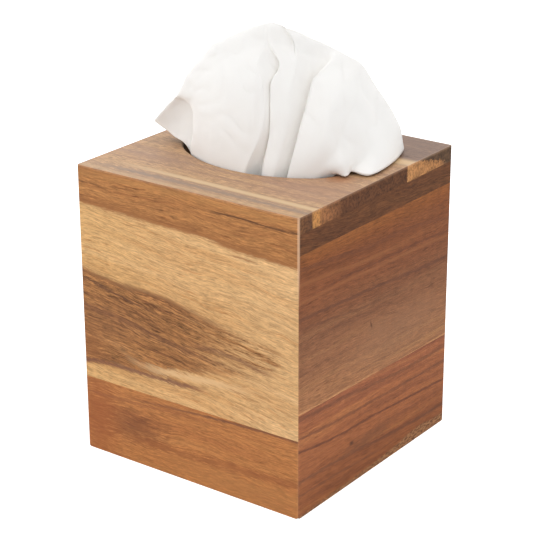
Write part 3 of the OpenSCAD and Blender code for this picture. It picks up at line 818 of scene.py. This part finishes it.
def tail(point, index):
    # the way from the opening down to the stack; neighbours lie in and out, as pleats
    spread = np.array(point[:2]) - sheet["gatherAt"]
    out = spread / np.linalg.norm(spread) * (1 if index % 2 == 0 else -1)
    levels = []
    for share, pleat, height in sheet["gather"]:
        x, y = np.array(sheet["gatherAt"]) + spread * share + out * pleat
        levels.append([x, y, height])
    return levels


def sheetNet():
    lines = []
    for index, (front, back) in enumerate(zip(sheet["front"], sheet["back"])):
        points = tail(front[0], index)[::-1] + front + back + tail(back[-1], index)
        lines.append(smoothLine(points, sheet["alongSteps"]))
    lines = np.array(lines)
    crease = np.zeros((*lines.shape[:2], 1))
    for index, (low, high) in sheet["creases"].items():
        rows = np.arange(lines.shape[1]) / sheet["alongSteps"]
        crease[index, :, 0] = np.clip(rows - low, 0, 1) * np.clip(high - rows, 0, 1)
    net = smoothLine(lines, sheet["acrossSteps"], crease)
    turn = math.radians(sheet["turn"])
    x = net[..., 0] * math.cos(turn) + net[..., 1] * math.sin(turn)
    y = net[..., 0] * math.sin(turn) - net[..., 1] * math.cos(turn)
    return np.stack([x, y, net[..., 2] + sheet["top"]], axis=-1)


def netNormals(net):
    normals = np.cross(np.gradient(net, axis=1), np.gradient(net, axis=0))
    return normals / np.maximum(np.linalg.norm(normals, axis=-1, keepdims=True), 1e-9)


def wrinkles(net):
    # soft crumples that follow the sheet, none where it passes the opening
    crumple = sheet["crumple"]
    seed = crumple["seed"]
    result = np.zeros(net.shape[:2])
    for i in range(net.shape[0]):
        for j in range(net.shape[1]):
            p = Vector(net[i, j])
            broad = noise.noise(p * crumple["broadScale"] + Vector((seed, 0, 0)))
            crease = abs(noise.noise(p * crumple["creaseScale"] + Vector((0, seed, 0))))
            crease = max(1 - crease * crumple["creaseSharp"], 0.0)
            result[i, j] = crumple["broad"] * broad + crumple["crease"] * crease
    calm = np.clip((net[..., 2] - sheet["top"] - crumple["calmBelow"]) / crumple["calmOver"], 0, 1)
    return result * calm


def plyMesh(name, net, thickness):
    # closed shell of the given thickness about a net of points
    normals = netNormals(net)
    n, m = net.shape[:2]
    top = (net + normals * thickness / 2).reshape(-1, 3)
    low = (net - normals * thickness / 2).reshape(-1, 3)
    index = np.arange(n * m).reshape(n, m)
    quads = np.stack([index[:-1, :-1], index[:-1, 1:], index[1:, 1:], index[1:, :-1]], axis=-1).reshape(-1,
                                                                                                        4)
    rim = np.concatenate([index[0, :], index[1:, -1], index[-1, -2::-1], index[-2:0:-1, 0]])
    after = np.roll(rim, -1)
    side = np.stack([rim, rim + n * m, after + n * m, after], axis=-1)
    facesList = np.concatenate([quads, quads[:, ::-1] + n * m, side])
    mesh = bpy.data.meshes.new(name)
    mesh.from_pydata((np.concatenate([top, low]) * millimetre).tolist(), [], facesList.tolist())
    stepsAcross, stepsAlong = np.meshgrid(np.linspace(0, 1, n), np.linspace(0, 1, m), indexing="ij")
    flatPlace = np.stack([stepsAcross, stepsAlong], axis=-1).reshape(-1, 2)
    flatPlace = np.concatenate([flatPlace, flatPlace]) * sheet["flat"]
    layer = mesh.uv_layers.new(name="flatSheet")
    corners = np.empty(len(mesh.loops), np.int32)
    mesh.loops.foreach_get("vertex_index", corners)
    layer.data.foreach_set("uv", flatPlace[corners].astype(np.float32).ravel())
    mesh.validate()
    mesh.polygons.foreach_set("use_smooth", np.ones(len(mesh.polygons), bool))
    return linkNew(name, mesh)


def tissueMaterial():
    material, tree, surface = newMaterial("soft_tissue")
    flat = addNode(tree, "ShaderNodeUVMap", uv_map="flatSheet").outputs[0]
    crepe = noiseAt(tree, stretched(tree, flat, 350.0, 2600.0, 1.0), 1.0, 3.0, 0.6)
    fibres = noiseAt(tree, stretched(tree, flat, 1500.0, 1500.0, 1.0), 1.0, 4.0, 0.7)
    cloud = noiseAt(tree, stretched(tree, flat, 60.0, 60.0, 1.0), 1.0, 3.0)
    color = mixColor(tree, times(tree, cloud, 0.5), (0.965, 0.945, 0.912), (0.94, 0.915, 0.88))
    tree.links.new(mixColor(tree, times(tree, fibres, 0.12), color, (0.86, 0.84, 0.80)),
                   surface.inputs["Base Color"])
    surface.inputs["Roughness"].default_value = 0.95
    surface.inputs["Specular IOR Level"].default_value = 0.15
    height = plus(tree, times(tree, crepe, 0.7), times(tree, fibres, 0.3))
    addBump(tree, surface, 0.25, 0.00012, height)
    # thin paper lets some of the light through
    surface.inputs["Subsurface Weight"].default_value = sheet["thinness"]
    surface.inputs["Subsurface Radius"].default_value = (1.0, 0.95, 0.88)
    surface.inputs["Subsurface Scale"].default_value = sheet["glowReach"]
    return material


def buildTissue():
    net = sheetNet()
    normals = netNormals(net)
    across = np.linspace(0, 1, net.shape[0])[:, None]
    nearEdge = np.clip(1 - np.minimum(across, 1 - across) / sheet["openShare"], 0, 1)
    gap = sheet["plyGap"] + sheet["openEdge"] * nearEdge ** 2
    folds = wrinkles(net)[..., None]
    material = tissueMaterial()
    plies = []
    for name, side in (("tissue_ply_outer", 0.5), ("tissue_ply_inner", -0.5)):
        moved = net + normals * (folds + side * gap[..., None])
        ply = plyMesh(name, moved, sheet["plyThickness"])
        setMaterial(ply, material)
        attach(ply, "root")
        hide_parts("tissue_sheet")
        plies.append(ply)
    return plies


tissuePlies = buildTissue()
print("tissue finished:", [len(p.data.polygons) for p in tissuePlies], "faces")


# Floor, light and camera

stage = {"floorSize": 6.0, "floorGlow": 0.62, "floorColor": (0.86, 0.86, 0.86),
         "floorMirrored": (0.25, 0.24, 0.23)}


def buildFloor():
    half = stage["floorSize"] / 2
    mesh = bpy.data.meshes.new("floor")
    mesh.from_pydata([(-half, -half, 0), (half, -half, 0), (half, half, 0), (-half, half, 0)], [],
                     [(0, 1, 2, 3)])
    floor = linkNew("floor", mesh)
    material, tree, surface = newMaterial("pale_floor")
    place = addNode(tree, "ShaderNodeTexCoord").outputs["Object"]
    cloud = noiseAt(tree, place, 3.0, 3.0)
    rays = addNode(tree, "ShaderNodeLightPath").outputs
    color = mixColor(tree, times(tree, cloud, 0.2), stage["floorColor"], (0.84, 0.84, 0.84))
    tree.links.new(mixColor(tree, rays["Is Glossy Ray"], color, stage["floorMirrored"]),
                   surface.inputs["Base Color"])
    surface.inputs["Roughness"].default_value = 0.9
    surface.inputs["Emission Color"].default_value = (1, 1, 1, 1)
    glow = times(tree, rays["Is Camera Ray"], stage["floorGlow"])
    tree.links.new(glow, surface.inputs["Emission Strength"])
    floor.data.materials.append(material)


lamps = {
    "key": {"at": (-0.75, -1.6, 1.0), "size": 1.1, "watts": 9.0},
    "side": {"at": (1.7, -0.5, 1.0), "size": 1.4, "watts": 5.0},
    "fill": {"at": (-1.7, -0.45, 0.4), "size": 1.0, "watts": 4.5},
    "above": {"at": (0.45, 0.7, 1.8), "size": 1.6, "watts": 7.0},
}
aim = Vector((0, 0, 0.1))


def buildLamps():
    for name, setting in lamps.items():
        data = bpy.data.lights.new(name, "AREA")
        data.shape = "SQUARE"
        data.size = setting["size"]
        data.energy = setting["watts"]
        lamp = linkNew(name, data)
        lamp.location = setting["at"]
        lamp.rotation_euler = (aim - lamp.location).to_track_quat("-Z", "Y").to_euler()


studio = {"ambient": 0.86, "backdrop": 1.35, "dim": 0.12, "backdropAt": (-0.59, 0.81, 0.0),
          "backdropSpan": (0.1, 0.6)}


def buildWorld():
    world = bpy.data.worlds.new("studio")
    bpy.context.scene.world = world
    world.use_nodes = True
    tree = world.node_tree
    tree.nodes.clear()
    rays = addNode(tree, "ShaderNodeLightPath").outputs
    # the white backdrop is seen and mirrored; the studio on the camera's side is dim
    looking = addNode(tree, "ShaderNodeTexCoord").outputs["Generated"]
    away = addNode(tree, "ShaderNodeVectorMath", {0: looking, 1: studio["backdropAt"]},
                   operation="DOT_PRODUCT").outputs["Value"]
    mirrored = softStep(tree, away, *studio["backdropSpan"])
    mirrored = timesPlus(tree, mirrored, studio["backdrop"] - studio["dim"], studio["dim"])
    seen = calc(tree, "MAXIMUM", rays["Is Camera Ray"], rays["Is Transmission Ray"])
    glossy = times(tree, rays["Is Glossy Ray"], mirrored)
    plain = minus(tree, 1.0, calc(tree, "MAXIMUM", seen, rays["Is Glossy Ray"]), clamp=True)
    strength = timesPlus(tree, plain, studio["ambient"], plus(tree, seen, glossy))
    back = addNode(tree, "ShaderNodeBackground", {"Color": (1, 1, 1), "Strength": strength})
    addNode(tree, "ShaderNodeOutputWorld", {"Surface": back.outputs[0]})


# The camera stands where the photograph's own perspective puts it
view = {"turn": 36.41, "rise": 21.583, "roll": -0.253, "distance": 0.940348,
        "across": -0.000958, "up": 0.085247, "lens": 123.474, "sensor": 36.0}


def buildCamera():
    turn, rise, roll = (math.radians(view[key]) for key in ("turn", "rise", "roll"))
    back = Vector((math.sin(turn) * math.cos(rise), -math.cos(turn) * math.cos(rise), math.sin(rise)))
    right = (-back).cross(Vector((0, 0, 1))).normalized()
    up = right.cross(-back)
    rolledRight = right * math.cos(roll) + up * math.sin(roll)
    rolledUp = -right * math.sin(roll) + up * math.cos(roll)
    place = rolledRight * view["across"] + rolledUp * view["up"] + back * view["distance"]
    data = bpy.data.cameras.new("camera")
    data.lens = view["lens"]
    data.sensor_width = view["sensor"]
    data.sensor_fit = "HORIZONTAL"
    camera = linkNew("camera", data)
    turned = Matrix((rolledRight, rolledUp, back)).transposed().to_4x4()
    camera.matrix_world = Matrix.Translation(place) @ turned
    bpy.context.scene.camera = camera


buildFloor()
buildLamps()
buildWorld()
buildCamera()
bpy.context.scene.view_settings.view_transform = "Standard"
print("stage finished")
